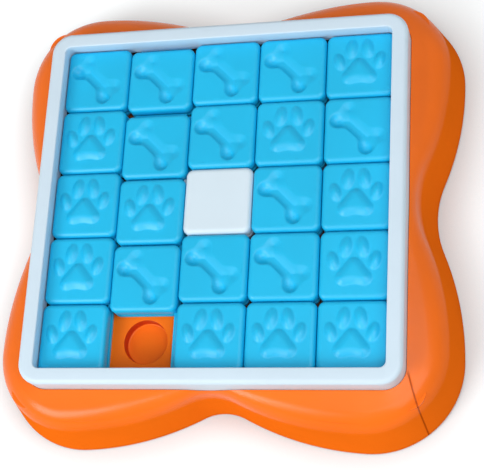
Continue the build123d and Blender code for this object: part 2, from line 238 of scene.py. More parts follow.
class Surface:
    """Points and quads of one piece, gathered patch by patch."""

    def __init__(self):
        self.points, self.faces, self.count = [], [], 0

    def add(self, points, wrap_rows=False, wrap_columns=False, flip=False):
        """Add one grid of points, of shape (rows, columns, 3)."""
        rows, columns = points.shape[:2]
        faces = grid_faces(rows, columns, wrap_rows, wrap_columns)
        if flip:
            faces = faces[:, ::-1]
        self.append(points.reshape(-1, 3), faces)

    def append(self, points, faces):
        """Add a list of points and the quads between them."""
        self.points.append(points)
        self.faces.append(faces + self.count)
        self.count += len(points)

    def add_bar(self, low, high, radius, count=4):
        """Add a box with rounded edges, between two corners.

        Each face of a cube is a grid of directions. A point is the corner nearest to its direction of the
        box that is smaller by the radius all round, plus the direction's unit vector times the radius.
        """
        low, high = np.asarray(low) + radius, np.asarray(high) - radius
        edge = np.tan(np.linspace(-np.pi / 4, np.pi / 4, 2 * count))
        across, up = np.meshgrid(edge, edge, indexing="ij")
        for axis in range(3):
            for side in (-1, 1):
                way = np.roll(np.stack([np.full_like(across, side), across, up * side], -1), axis, -1)
                unit = way / np.linalg.norm(way, axis=-1, keepdims=True)
                self.add(np.where(way > 0, high, low) + unit * radius)

    def moved(self, offset):
        """The same surface shifted by an offset."""
        other = Surface()
        other.append(np.concatenate(self.points) + np.asarray(offset), np.concatenate(self.faces))
        return other


def make_piece(name, surface, body, material, replaces, sharp=math.radians(38)):
    """Put a surface into a new object that rides on a body and stands for some nodes of the model."""
    points, faces = np.concatenate(surface.points), np.concatenate(surface.faces)
    mesh = bpy.data.meshes.new(name)
    mesh.from_pydata(points.tolist(), [], faces.tolist())
    shape = bmesh.new()
    shape.from_mesh(mesh)
    bmesh.ops.remove_doubles(shape, verts=shape.verts, dist=2e-6)
    bmesh.ops.dissolve_degenerate(shape, edges=shape.edges, dist=1e-7)
    bmesh.ops.recalc_face_normals(shape, faces=shape.faces)
    shape.to_mesh(mesh)
    shape.free()
    mesh.shade_smooth()
    mesh.set_sharp_from_angle(angle=sharp)
    mesh.materials.append(material)
    piece = bpy.data.objects.new(name, mesh)
    bpy.context.scene.collection.objects.link(piece)
    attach(piece, body)
    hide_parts(*replaces)


# ---------------------------------------------------------------- shapes


def four_turns(points):
    """Points at four quarter turns about the middle: x, y; -y, x; -x, -y; y, -x."""
    x, y, rest = points[..., :1], points[..., 1:2], points[..., 2:]
    return [np.concatenate([*flat, rest], -1) for flat in ((x, y), (-y, x), (-x, -y), (y, -x))]


def quarter_round(start, stop, count, upright=False):
    """Points of a quarter of an ellipse between two points of a profile.

    It sets off level and arrives upright: the run across times the sine of an angle, and the rise times one
    less its cosine. If it sets off upright, they change places.
    """
    angle = np.linspace(0, np.pi / 2, count)
    share = [np.sin(angle), 1 - np.cos(angle)]
    across, up = share[::-1] if upright else share
    (from_x, from_y), (to_x, to_y) = start, stop
    return list(zip(from_x + (to_x - from_x) * across, from_y + (to_y - from_y) * up, strict=True))


def rounded_square_path(side_count, corner_count):
    """A rounded square as two arrays, its core and its normals.

    Its point for a half width h about corner centres at c is core times c plus normal times (h - c). On a
    side the core runs evenly from one corner centre to the next, and at a corner the normal turns evenly
    through 90 degrees.
    """
    along = np.linspace(-1, 1, side_count, endpoint=False)
    angle = np.linspace(0, np.pi / 2, corner_count, endpoint=False)
    core = np.concatenate([np.stack([np.ones_like(along), along], -1), np.ones((corner_count, 2))])
    turned = np.stack([np.cos(angle), np.sin(angle)], -1)
    normal = np.concatenate([np.tile([1.0, 0.0], (side_count, 1)), turned])
    return np.concatenate(four_turns(core)), np.concatenate(four_turns(normal))


def square_reach(points, centre):
    """Half width of the rounded square about corner centres at a distance that passes through each point:
    that distance plus the length of what is left of the point beyond it."""
    return centre + np.linalg.norm(np.maximum(np.abs(points) - centre, 0), axis=-1)


def last_holding(test, count, furthest):
    """For each of some points the value up to which a test holds, by halving the range from 0 to furthest."""
    low, high = np.zeros(count), np.full(count, furthest)
    for _ in range(40):
        middle = (low + high) / 2
        holds = test(middle)
        low, high = np.where(holds, middle, low), np.where(holds, high, middle)
    return (low + high) / 2


def way_to_square(points, normals, half, centre):
    """How far each point moves against its normal until it lies on a rounded square."""
    return last_holding(lambda way: square_reach(points - way[:, None] * normals, centre) > half,
                        len(points), furthest=0.07)


def opening_half(ring, tile):
    """Half the width of the frame's opening: two pitches, half a tile and the gap."""
    return 2 * tile.pitch + tile.size / 2 + ring.gap


def lobed_outline(base, outer, level, count):
    """The four-lobed outline of the wall at a level, as an array of points.

    Each quarter is four arcs that touch: the hollow waist, a long flank, the round lobe and the flank back.
    A point is its arc's centre plus the radius times the cosine and sine of an angle that runs evenly over
    the arc. The flank's centre is where circles about the waist's and the lobe's centres, of the sum and
    the difference of the radii, cross. Waists on the sides and at the front take turns.
    """
    rise = level - base.skirt_bottom
    share = rise / (base.shoulder_level - base.skirt_bottom)
    draft = rise * math.tan(base.wall_draft)
    flank, lobe, centre = base.flank_radius - draft, base.lobe_radius - draft, outer - base.lobe_set_in
    land, lean = np.array([base.side_land, base.front_land]), np.array([base.side_lean, base.front_lean])
    waist = np.array([base.side_radius, base.front_radius]) + lean * share
    waist_x = outer + land + lean * (1 - share) + waist
    run, span = centre - waist_x, np.hypot(centre - waist_x, centre)
    to_waist, to_lobe = waist + flank, flank - lobe
    along = (to_waist**2 - to_lobe**2 + span**2) / (2 * span)
    aside = np.sqrt(to_waist**2 - along**2)
    flank_x = waist_x + (run * along - centre * aside) / span
    flank_y = (centre * along + run * aside) / span
    waist_turn = np.arctan2(flank_y, flank_x - waist_x)
    lobe_turn = np.arctan2(centre - flank_y, centre - flank_x)
    sweep = lobe_turn + np.pi - waist_turn
    here, there, same = np.arange(4) % 2, (np.arange(4) + 1) % 2, np.ones(4)
    centre_x = np.stack([waist_x[here], flank_x[here], centre * same, flank_y[there]], -1)
    centre_y = np.stack([0 * same, flank_y[here], centre * same, flank_x[there]], -1)
    radii = np.stack([waist[here], flank * same, lobe * same, flank * same], -1)
    starts = np.stack([2 * np.pi - waist_turn[here], waist_turn[here] - np.pi, lobe_turn[here],
                       np.pi / 2 - lobe_turn[there]], -1)
    sweeps = np.stack([2 * waist_turn[here] - 2 * np.pi, sweep[here],
                       np.pi / 2 - lobe_turn[here] - lobe_turn[there], sweep[there]], -1)
    angle = starts[..., None] + sweeps[..., None] * np.arange(count) / count
    x = (centre_x[..., None] + radii[..., None] * np.cos(angle)).reshape(4, -1)
    y = (centre_y[..., None] + radii[..., None] * np.sin(angle)).reshape(4, -1)
    cosine, sine = np.array([[1], [0], [-1], [0]]), np.array([[0], [1], [0], [-1]])
    return np.stack([x * cosine - y * sine, x * sine + y * cosine], -1).reshape(-1, 2)


def swept_ring(points, normals, insets, levels):
    """A closed wall carried round an outline: each point moved in by an inset along its normal, at a level.

    insets and levels have one row for each step of the wall's profile and one column for each outline
    point.
    """
    flat = points[None] - insets[..., None] * normals[None]
    return np.concatenate([flat, levels[..., None]], -1)


def rounded_square_ring(path, halves, centres, levels):
    """A profile carried round a rounded square: core times centre plus normal times half less centre."""
    core, normal = path
    halves, centres = np.asarray(halves)[:, None, None], np.asarray(centres)[:, None, None]
    flat = core[None] * centres + normal[None] * (halves - centres)
    height = np.broadcast_to(np.asarray(levels).reshape(len(levels), -1), flat.shape[:2])
    return np.concatenate([flat, height[..., None]], -1)


def turned_ring(profile, centre, count):
    """A turned shape: each profile point's radius times the cosine and sine of an angle, at its level."""
    angle = np.arange(count) * 2 * np.pi / count
    radius, level = np.asarray(profile).T
    x = centre[0] + radius[:, None] * np.cos(angle)
    y = centre[1] + radius[:, None] * np.sin(angle)
    return np.stack([x, y, np.broadcast_to(level[:, None], x.shape)], -1)


# ---------------------------------------------------------------- base


def base_shell(base, ring, tile, fastenings):
    """Skirt, ridge, shoulder, ledge and rim as one closed profile carried round the lobed outline.

    The wall is ruled between the outlines at the skirt's edge and at the shoulder's level, the shoulder is
    a low pyramid about the frame, and the ridge between them is an arc that touches both. Inside, the
    profile runs down beside the frame, over the rim and back under the shoulder.
    """
    outer = opening_half(ring, tile) + ring.width
    points = lobed_outline(base, outer, base.skirt_bottom, 30)
    way = points - lobed_outline(base, outer, base.shoulder_level, 30)
    run = np.linalg.norm(way, axis=-1)
    normals, lean = way / run[:, None], run / (base.shoulder_level - base.skirt_bottom)
    draft, fall = np.arctan(lean), math.tan(base.shoulder_slope)
    corner = outer - ring.corner
    rim_outer = outer - ring.wall - ring.clearance
    rim_inner = rim_outer - ring.rim

    def shoulder(inset):
        reach = square_reach(points - inset[:, None] * normals, corner)
        return base.shoulder_level - (reach - outer) * fall

    # where the wall meets the shoulder, and how steep the shoulder is there
    edge = last_holding(lambda inset: base.skirt_bottom + inset / lean < shoulder(inset),
                        len(points), furthest=0.03)
    probe = 0.002
    climb = np.arctan((shoulder(edge + probe) - shoulder(edge)) / probe)
    turn = math.pi / 2 - draft - climb
    seat = way_to_square(points, normals, outer + ring.clearance, corner)
    # the ridge's radius grows with the width of the shoulder
    widest = 0.02
    width = np.clip((seat - edge) / widest, 0, 1)
    radius = base.ridge_round + (base.lobe_round - base.ridge_round) * width * width * (3 - 2 * width)
    reach = radius * np.tan(turn / 2)
    # the ridge's arc starts on the wall and ends on the shoulder
    start = edge - reach * np.sin(draft)
    stop = edge + reach * np.cos(climb)
    start_level = base.skirt_bottom + start / lean
    centre = start + radius * np.cos(draft)
    centre_level = start_level - radius * np.sin(draft)
    stop = np.minimum(stop, seat)
    arc_rows = 20
    part = np.linspace(0, 1, arc_rows)[:, None]
    inset = np.concatenate([start + (stop - start) * part, stop + (seat - stop) * part[1:]])
    arc = centre_level + np.sqrt(np.maximum(radius**2 - (inset - centre) ** 2, 0))
    slope = np.stack([shoulder(row) for row in inset])
    top = np.concatenate([arc[:arc_rows], np.where(stop < seat, slope, arc)[arc_rows:]])
    count = len(points)
    level = np.full(count, base.skirt_bottom)
    rows = [(np.full(count, base.wall), level)]
    for angle in np.linspace(0, math.pi / 2 - base.wall_draft, 5):
        rows.append((base.foot_round * (1 - math.sin(angle)) + base.foot_round * lean,
                     level + base.foot_round * (1 - math.cos(angle))))
    for share in np.linspace(0.12, 0.94, 8):
        rows.append((start * share, base.skirt_bottom + (start_level - base.skirt_bottom) * share))
    rows += list(zip(inset, top, strict=True))
    at_rim_outer = way_to_square(points, normals, rim_outer, corner)
    at_rim_inner = way_to_square(points, normals, rim_inner, corner)
    void_top = base.seat_level - base.wall
    deck_bottom = base.deck_level - base.deck_thickness
    void = (void_top - base.skirt_bottom) * lean + base.wall
    for rim_inset, rim_level in (
        (seat, base.seat_level), (at_rim_outer, base.seat_level), (at_rim_outer, base.rim_top),
        (at_rim_inner, base.rim_top), (at_rim_inner, base.deck_level), (at_rim_inner, deck_bottom),
        (at_rim_outer, deck_bottom), (at_rim_outer, void_top), (void, void_top),
        ((void + base.wall) / 2, (void_top + base.skirt_bottom) / 2),
    ):
        rows.append((rim_inset, np.full(count, rim_level)))
    insets, levels = (np.stack(column) for column in zip(*rows, strict=True))
    surface = Surface()
    surface.add(swept_ring(points, normals, insets, levels), wrap_rows=True, wrap_columns=True)
    # a boss inside each lobe, which carries its foot
    middle = (foot_low.x + foot_high.x) / 2
    seat_radius = foot_high.x - middle + fastenings.foot_play
    boss, top = seat_radius + fastenings.boss_wall, void_top + 0.0005
    seat, foot = fastenings.foot_disc, base.skirt_bottom
    profile = [(0, seat), (seat_radius, seat), (seat_radius, foot), (boss, foot), (boss, top), (0, top)]
    for x in (-middle, middle):
        for y in (-middle, middle):
            surface.add(turned_ring(profile, (x, y), 48), wrap_columns=True)
    return surface


def cell_rings(rings, centre, angle):
    """Rings about a cell's centre that turn from circles into squares.

    A ring of radius r and share w lies at (1 - w) times the circle of radius r plus w times the cell's
    square of half width q, where the square's point at an angle is q over the larger of |cosine| and
    |sine|, along the angle. rings holds r, w, q and the level of each.
    """
    way = np.stack([np.cos(angle), np.sin(angle)], -1)
    to_square = 1 / np.abs(way).max(-1)
    radius, share, square, level = np.asarray(rings).T
    reach = (1 - share)[:, None] * radius[:, None] + (share * square)[:, None] * to_square
    flat = reach[..., None] * way + np.asarray(centre)
    return np.concatenate([flat, np.broadcast_to(level[:, None, None], (*flat.shape[:2], 1))], -1)


def base_floor(base, ring, tile, cells, block):
    """The floor with a round cup under each sliding tile, above and below, ringed cell by cell."""
    half = tile.pitch / 2
    deck, under = base.deck_level, base.deck_level - base.deck_thickness
    bottom, radius, lip = deck - base.cup_depth, base.cup_radius, base.cup_radius + base.cup_lip
    angle = np.arange(48) * 2 * np.pi / 48
    cup = quarter_round((radius - base.cup_round, bottom), (radius, bottom + base.cup_round), 5)
    cup += quarter_round((radius, deck - base.cup_lip), (lip, deck), 5, upright=True)
    above = [(0, 0, 0, bottom), (radius * 0.5, 0, 0, bottom)] + [(reach, 0, 0, level) for reach, level in cup]
    above += [(lip, share, half, deck) for share in (0.3, 0.65, 1.0)]
    plain_above = [(0, 0, 0, deck), (radius, 0, 0, deck), (radius, 1, half, deck)]
    shell, low, thick = radius + base.cup_wall, bottom - base.cup_wall, base.cup_wall
    rib_low, rib_at = under - base.cup_depth, half - base.rib / 2
    rib = [(0, 1, rib_at, under), (0, 1, rib_at, rib_low), (0, 1, half, rib_low)]
    outside = quarter_round((shell - thick, low), (shell, low + thick), 5)
    below = [(0, 0, 0, low), (shell - thick, 0, 0, low)] + [(reach, 0, 0, level) for reach, level in outside]
    below += [(shell, 0, 0, under), (shell, 0.5, rib_at, under)]
    plain_below = [(0, 0, 0, under), (shell, 0, 0, under), (shell, 0.5, rib_at, under)]
    surface = Surface()
    for x in cells:
        for y in cells:
            top, foot = (plain_above, plain_below) if (x, y) == block else (above, below)
            surface.add(cell_rings(top, (x, y), angle), wrap_columns=True)
            surface.add(cell_rings(foot + rib, (x, y), angle), wrap_columns=True, flip=True)
    # the edge strip out to the rim, and back below it
    edge = cells[-1] + half
    turn = np.tan(angle[(angle < np.pi / 4 - 1e-6) | (angle > 7 * np.pi / 4 - 1e-6)])
    along = np.concatenate([cell + np.sort(turn) * half for cell in cells])
    around = np.concatenate(four_turns(np.stack([np.full_like(along, edge), along], -1)))
    outer = opening_half(ring, tile) + ring.width
    corner = outer - ring.corner
    rim = outer - ring.wall - ring.clearance - ring.rim
    core = np.clip(around * 1.05, -corner, corner)
    over = around * (rim / edge) - core
    out = core + over / np.linalg.norm(over, axis=-1, keepdims=True) * (rim - corner)
    strip = [(around, deck), (out, deck), (out, under), (around, under), (around, rib_low)]
    surface.add(np.stack([np.column_stack([flat, np.full(len(flat), level)]) for flat, level in strip]),
                wrap_columns=True)
    return surface


# ---------------------------------------------------------------- frame


def frame_ring(base, ring, tile):
    """The frame as a hollow closed profile carried round a rounded square.

    Its inner wall ends above the tiles' tongues on the left and at the back, and reaches the floor on the
    right and in front, where two ribs stand in the tiles' grooves.
    """
    core, normal = rounded_square_path(24, 14)
    inner = opening_half(ring, tile)
    outer = inner + ring.width
    outer_centre = outer - ring.corner
    inner_centre = inner - tile.corner - ring.gap
    top, seat, roof = ring_high.z, base.seat_level, ring_high.z - ring.wall
    tongue = block_low.z + tile.tongue_low
    tongue_top = tongue + tile.tongue_thickness
    # points on the right and in front, and on the corner between them
    way = core + normal * 0.2
    past = np.abs(way) * 1.0001
    low = (way[:, 0] > past[:, 1]) | (way[:, 1] < -past[:, 0]) | ((way[:, 0] > 0.9) & (way[:, 1] < -0.9))
    floor_play, tongue_play = 0.00025, 0.0004
    wall_foot = np.where(low, base.deck_level + floor_play, tongue_top + tongue_play)
    edge = inner - ring.lip
    over = quarter_round((outer, top - ring.outer_round), (outer - ring.outer_round, top), 9, upright=True)
    into = quarter_round((edge + ring.inner_round, top), (edge, top - ring.inner_round), 6)
    rows = [(outer, outer_centre, level) for level in (seat, seat + 0.004, top - 0.0045)]
    rows += [(half, outer_centre, level) for half, level in over]
    rows += [(half, inner_centre, level) for half, level in into]
    rows += [(edge, inner_centre, top - 0.7 * ring.lip_height), (inner, inner_centre, top - ring.lip_height),
             (inner, inner_centre, wall_foot),
             (inner + ring.wall, inner_centre, wall_foot), (inner + ring.wall, inner_centre, roof),
             (outer - ring.wall, outer_centre, roof), (outer - ring.wall, outer_centre, seat)]
    halves, centres, levels = zip(*rows, strict=True)
    levels = np.stack([np.broadcast_to(level, len(core)) for level in levels])
    surface = Surface()
    profile = rounded_square_ring((core, normal), halves, centres, levels)
    surface.add(profile, wrap_rows=True, wrap_columns=True)
    bar, reach, into_wall = outer_centre - tile.tongue_end, inner - ring.rib_reach, inner + 0.001
    surface.add_bar((reach, -bar, tongue), (into_wall, bar, tongue_top), radius=0.0004)
    surface.add_bar((-bar, -into_wall, tongue), (bar, -reach, tongue_top), radius=0.0004)
    # two hooks under each outer wall, each a leg with a barb
    hooks, half = Surface(), 0.006
    face = outer - ring.wall
    for at in (-1.5 * tile.pitch, 1.5 * tile.pitch):
        start = (face, at - half, ring_low.z)
        hooks.add_bar(start, (face + 0.0018, at + half, seat + 0.001), radius=0.0003)
        hooks.add_bar(start, (ring_high.x, at + half, ring_low.z + 0.0024), radius=0.0003)
    for points in four_turns(np.concatenate(hooks.points)):
        surface.append(points, np.concatenate(hooks.faces))
    return surface


# ---------------------------------------------------------------- tiles


def tile_lines(tile, step=0.00042):
    """Grid lines across a tile: even in the middle, and even in angle over the rounded edges."""
    half, bend = tile.size / 2, tile.edge_round
    edge = half - bend * (1 - np.sin(np.linspace(math.pi / 2, 0, 9)))
    middle = np.linspace(half - bend, 0, int((half - bend) / step))[1:]
    right = np.concatenate([edge, middle])
    return np.concatenate([-right, right[:-1][::-1]])


def onto_rounded_square(x, y, half, corner):
    """Square rings turned into rounded ones.

    Each ring's corner radius is the tile's, less the ring's distance from the edge. On the last part of a
    side, as long as that radius, the share of it that is passed times 45 degrees is the angle on the
    corner's arc.
    """
    reach = np.maximum(np.abs(x), np.abs(y))
    radius = np.maximum(corner - (half - reach), 0)
    least = np.minimum(np.abs(x), np.abs(y))
    share = np.where(radius > 0, (least - (reach - radius)) / np.maximum(radius, 1e-9), 0)
    share = np.clip(share, 0, 1)
    angle = share * np.pi / 4
    bent = share > 0
    far = np.where(bent, reach - radius + radius * np.cos(angle), reach)
    near = np.where(bent, reach - radius + radius * np.sin(angle), least)
    x_leads = np.abs(x) >= np.abs(y)
    return (np.sign(x) * np.where(x_leads, far, near), np.sign(y) * np.where(x_leads, near, far), reach)


def soft_least(a, b, blend):
    """The smaller of two distances, rounded where they are nearly equal over a blend length."""
    share = np.clip(0.5 + 0.5 * (b - a) / blend, 0, 1)
    return b * (1 - share) + a * share - blend * share * (1 - share)


def swell(distance, width, lip):
    """A cushioned edge.

    The depth inside, half of the distance's size less the distance where the lip rounds it off, is turned
    into the sine of a quarter turn over the width, and stays at one beyond it.
    """
    inside = (np.hypot(distance, lip) - distance) / 2
    return np.sin(np.clip(inside / width, 0, 1) * np.pi / 2)


def bone_relief(x, y, marks):
    """Depth of the sunk bone, whose outline is a shaft and four knobs along the diagonal, softly joined.

    Its slope is wider on the far side of the axis than on the near one.
    """
    s = math.sqrt(0.5)
    x, y = x + marks.bone_shift, y - marks.bone_shift
    along, across = (x - y) * s, (x + y) * s
    shaft = np.maximum(np.abs(across) - marks.bone_shaft, np.abs(along) - marks.bone_half_length)
    ends = np.abs(along) - marks.bone_half_length
    knobs = [np.hypot(ends, across + side * marks.bone_spread) - marks.bone_knob for side in (-1, 1)]
    outline = soft_least(shaft, soft_least(*knobs, blend=0.006), blend=0.005)
    share = np.clip(0.5 + across / (2 * marks.bone_shaft), 0, 1)
    width = marks.bone_near + (marks.bone_far - marks.bone_near) * share * share * (3 - 2 * share)
    return -marks.bone_depth * swell(outline, width, marks.lip)


def to_line(x, y, start, stop):
    """Distance of points from a straight line between two ends: from the nearest point of it."""
    run = np.subtract(stop, start)
    share = np.clip(((x - start[0]) * run[0] + (y - start[1]) * run[1]) / (run @ run), 0, 1)
    return np.hypot(x - start[0] - share * run[0], y - start[1] - share * run[1])


def heel_depth(x, y, marks):
    """Depth inside the heel pad, a triangle grown by a disc with a round notch in its foot.

    Outside the triangle it is the disc's radius less the distance to the triangle. Inside it is the radius
    plus the inverse of the sum of the inverse distances to the three sides, which domes softly.
    """
    tip, corner = (0, marks.heel_tip), (marks.heel_spread, marks.heel_back)
    slant = math.hypot(marks.heel_spread, marks.heel_tip - marks.heel_back)
    sine, cosine = marks.heel_spread / slant, (marks.heel_tip - marks.heel_back) / slant
    right, left = ((marks.heel_tip - y) * sine - side * x * cosine for side in (1, -1))
    foot = y - marks.heel_back
    inside = np.minimum(np.minimum(right, left), foot) > 0
    sides = np.stack([np.where(inside, side, 1) for side in (right, left, foot)])
    dome = 1 / (1 / sides).sum(0)
    away = np.minimum(to_line(np.abs(x), y, tip, corner), to_line(np.abs(x), y, (0, marks.heel_back), corner))
    depth = marks.heel_round + np.where(inside, dome, -away)
    notch_radius = 0.009
    notch = np.hypot(x, foot + marks.heel_round + notch_radius - marks.heel_notch) - notch_radius
    return soft_least(depth, notch, blend=0.0012)


def toe(x, y, place, size, turn, lip):
    """A toe as a dome on an oval: the cosine of a quarter turn of its scaled radius, softened at the rim."""
    c, s = math.cos(turn), math.sin(turn)
    across, along = (x - place[0]) * c + (y - place[1]) * s, (y - place[1]) * c - (x - place[0]) * s
    scaled = np.hypot(across / size[0], along / size[1])
    return swell((scaled - 1) * size[0], size[0], lip)


def paw_relief(x, y, marks):
    """Height of the raised paw print: a heel pad and four oval toes, each cushioned."""
    x = x - marks.paw_shift
    side = np.abs(x)
    heel = swell(-heel_depth(x, y, marks), width=0.0053, lip=marks.lip)
    toes = np.maximum(toe(side, y, marks.toe_place, marks.toe_size, math.radians(9), marks.lip),
                      toe(side, y, marks.side_toe_place, marks.side_toe_size, math.radians(-15), marks.lip))
    return marks.paw_height * np.maximum(1.1 * heel, toes)


def no_relief(x, y, marks):
    """A plain top."""
    return np.zeros_like(x)


def tile_surface(tile, marks, relief, height):
    """One tile about its own middle, with its bottom at level 0.

    The top is a grid of rings that turn from squares into rounded squares, with a quarter round along the
    edge and the mark's relief. The sides go straight down, with a groove on the right and in front, and the
    bottom is a grid again, with four pockets. Two tongues stand out on the left and at the back.
    """
    half = tile.size / 2
    lines = tile_lines(tile)
    x, y = np.meshgrid(lines, lines, indexing="ij")
    flat_x, flat_y, reach = onto_rounded_square(x, y, half, tile.corner)
    inset = np.clip(half - reach, 0, tile.edge_round)
    drop = tile.edge_round - np.sqrt(np.maximum(tile.edge_round**2 - (tile.edge_round - inset) ** 2, 0))
    level = height - drop + relief(flat_x, flat_y, marks)
    surface = Surface()
    surface.add(np.stack([flat_x, flat_y, level], -1), flip=True)
    pocket_side, pocket_mid = half - tile.side_wall, tile.web / 2
    hollow = ((np.abs(x) < pocket_side) & (np.abs(x) > pocket_mid)
              & (np.abs(y) < pocket_side) & (np.abs(y) > pocket_mid))
    ceiling = height - tile.top_wall + np.minimum(relief(flat_x, flat_y, marks), 0)
    surface.add(np.stack([flat_x, flat_y, np.where(hollow, ceiling, 0)], -1))
    # the side wall, carried round the edge of those grids
    count = len(lines)
    ring_x = np.concatenate([np.arange(count - 1), np.full(count - 1, count - 1), np.arange(count - 1, 0, -1),
                             np.zeros(count - 1, int)])
    ring_y = np.concatenate([np.zeros(count - 1, int), np.arange(count - 1), np.full(count - 1, count - 1),
                             np.arange(count - 1, 0, -1)])
    edge = np.stack([flat_x[ring_x, ring_y], flat_y[ring_x, ring_y]], -1)
    core = np.clip(edge, -half + tile.corner, half - tile.corner)
    normal = (edge - core) / np.linalg.norm(edge - core, axis=-1, keepdims=True)
    grooved = (edge[:, 0] > half - tile.groove_depth) | (edge[:, 1] < -half + tile.groove_depth)
    depth = np.where(grooved, tile.groove_depth, 0)
    top_of_groove = tile.groove_low + tile.groove_height
    steps = [(0, height - tile.edge_round), (0, top_of_groove), (depth, top_of_groove),
             (depth, tile.groove_low), (0, tile.groove_low), (0, 0)]
    insets = np.stack([np.broadcast_to(step[0], len(edge)) for step in steps])
    levels = np.stack([np.full(len(edge), step[1]) for step in steps])
    surface.add(swept_ring(edge, normal, insets, levels), wrap_columns=True, flip=True)
    reach, run = half + tile.tongue_reach, half - tile.tongue_end
    low, high = tile.tongue_low, tile.tongue_low + tile.tongue_thickness
    into_side = half - 0.001
    surface.add_bar((-reach, -run, low), (-into_side, run, high), radius=0.0005)
    surface.add_bar((-run, into_side, low), (run, reach, high), radius=0.0005)
    return surface


# ---------------------------------------------------------------- feet and screw


def foot_surface(low, high, sizes):
    """A turned rubber foot: a flat disc with rounded edges and a stem."""
    middle = ((low.x + high.x) / 2, (low.y + high.y) / 2)
    radius, bend, hollow = (high.x - low.x) / 2, sizes.foot_round, low.z + sizes.foot_hollow
    profile = [(0, hollow), (radius * 0.55, hollow), (radius * 0.6, low.z)]
    profile += quarter_round((radius - bend, low.z), (radius, low.z + bend), 6)
    stem, disc, chamfer = sizes.foot_stem, sizes.foot_disc, 0.0005
    profile += [(radius, disc), (stem, disc), (stem, high.z - chamfer), (stem - chamfer, high.z), (0, high.z)]
    surface = Surface()
    surface.add(turned_ring(profile, middle, 48), wrap_columns=True)
    return surface


def screw_surface(low, high, sizes):
    """A pan-head screw from below: a turned head and shank, with a cross sunk in the head.

    The cross is where the smaller of |x| and |y| is under half the slot's width and the larger under its
    reach.
    """
    radius = (high.x - low.x) / 2
    angle = np.arange(64) * 2 * np.pi / 64
    share = np.linspace(0, 1, 22)[:, None]
    x, y = share * radius * np.cos(angle), share * radius * np.sin(angle)
    near, far = np.minimum(abs(x), abs(y)), np.maximum(abs(x), abs(y))
    cross = (near < sizes.slot_half) & (far < sizes.slot_reach)
    level = low.z + sizes.head_dome * share**4 + np.where(cross, sizes.slot_depth, 0)
    rim, under, shank = low.z + sizes.head_dome, low.z + sizes.head, sizes.shank
    profile = [(radius, rim), (radius, under), (shank, under), (shank, high.z), (0, high.z)]
    surface = Surface()
    surface.add(np.stack([x, y, level], -1), wrap_columns=True)
    surface.add(turned_ring(profile, (0, 0), 64), wrap_columns=True)
    return surface


# ---------------------------------------------------------------- materials


class Nodes:
    """Short ways to add nodes to the tree of a material or of the world."""

    def __init__(self, tree):
        self.nodes, self.links = tree.nodes, tree.links

    def join(self, value, socket):
        """Link an output to a socket, or set the socket to a plain value."""
        if isinstance(value, bpy.types.NodeSocket):
            self.links.new(value, socket)
        else:
            socket.default_value = value

    def add(self, kind, inputs, **settings):
        """A new node with its settings, and then its inputs, linked or set."""
        node = self.nodes.new("ShaderNode" + kind)
        for name, value in settings.items():
            setattr(node, name, value)
        for name, value in inputs.items():
            self.join(value, node.inputs[name])
        return node

    def place(self):
        """The point of the surface in its piece's own space."""
        node = self.nodes.get("Texture Coordinate") or self.nodes.new("ShaderNodeTexCoord")
        return node.outputs["Object"]

    def level(self, axis="Z"):
        """One coordinate of that point."""
        return self.add("SeparateXYZ", {0: self.place()}).outputs[axis]

    def noise(self, scale, detail=2.0):
        """Noise over the piece."""
        return self.add("TexNoise", {"Vector": self.place(), "Scale": scale, "Detail": detail}).outputs["Fac"]

    def openness(self, distance):
        """How open the surface is to its surroundings within a distance, from 0 to 1."""
        return self.add("AmbientOcclusion", {"Distance": distance}).outputs["AO"]

    def worked(self, operation, *values):
        """The output of a Math node."""
        return self.add("Math", dict(enumerate(values)), operation=operation).outputs[0]

    def ranged(self, value, low, high, start=0.0, stop=1.0, **settings):
        """A value between low and high turned into one between start and stop."""
        inputs = {"Value": value, "From Min": low, "From Max": high, "To Min": start, "To Max": stop}
        return self.add("MapRange", inputs, **settings).outputs["Result"]

    def ramp(self, value, *stops):
        """A colour ramp through stops, each with a position and a colour."""
        node = self.add("ValToRGB", {"Fac": value})
        elements = node.color_ramp.elements
        elements[0].position, elements[1].position = stops[0][0], stops[-1][0]
        for position, _ in stops[1:-1]:
            elements.new(position)
        for element, (_, shade) in zip(elements, stops, strict=True):
            element.color = (*shade, 1)
        return node.outputs["Color"]

    def mixed(self, blend, factor, first, second):
        """The output of a colour mix."""
        inputs = {0: factor, 6: first, 7: second}
        return self.add("Mix", inputs, data_type="RGBA", blend_type=blend).outputs[2]

    def bump(self, height, distance, strength=1.0):
        """A normal that a height tilts."""
        inputs = {"Height": height, "Distance": distance, "Strength": strength}
        return self.add("Bump", inputs).outputs["Normal"]

    def seen(self):
        """1 for what the camera sees straight on, in a reflection or through something, and otherwise 0."""
        rays = self.add("LightPath", {}).outputs
        total = rays["Is Camera Ray"]
        for kind in ("Is Glossy Ray", "Is Transmission Ray"):
            total = self.add("Math", {0: total, 1: rays[kind]}, operation="ADD", use_clamp=True).outputs[0]
        return total


def new_material(name):
    """A node material, the short ways to add to it, and the inputs of its Principled shader."""
    material = bpy.data.materials.new(name)
    material.use_nodes = True
    return material, Nodes(material.node_tree), material.node_tree.nodes["Principled BSDF"].inputs


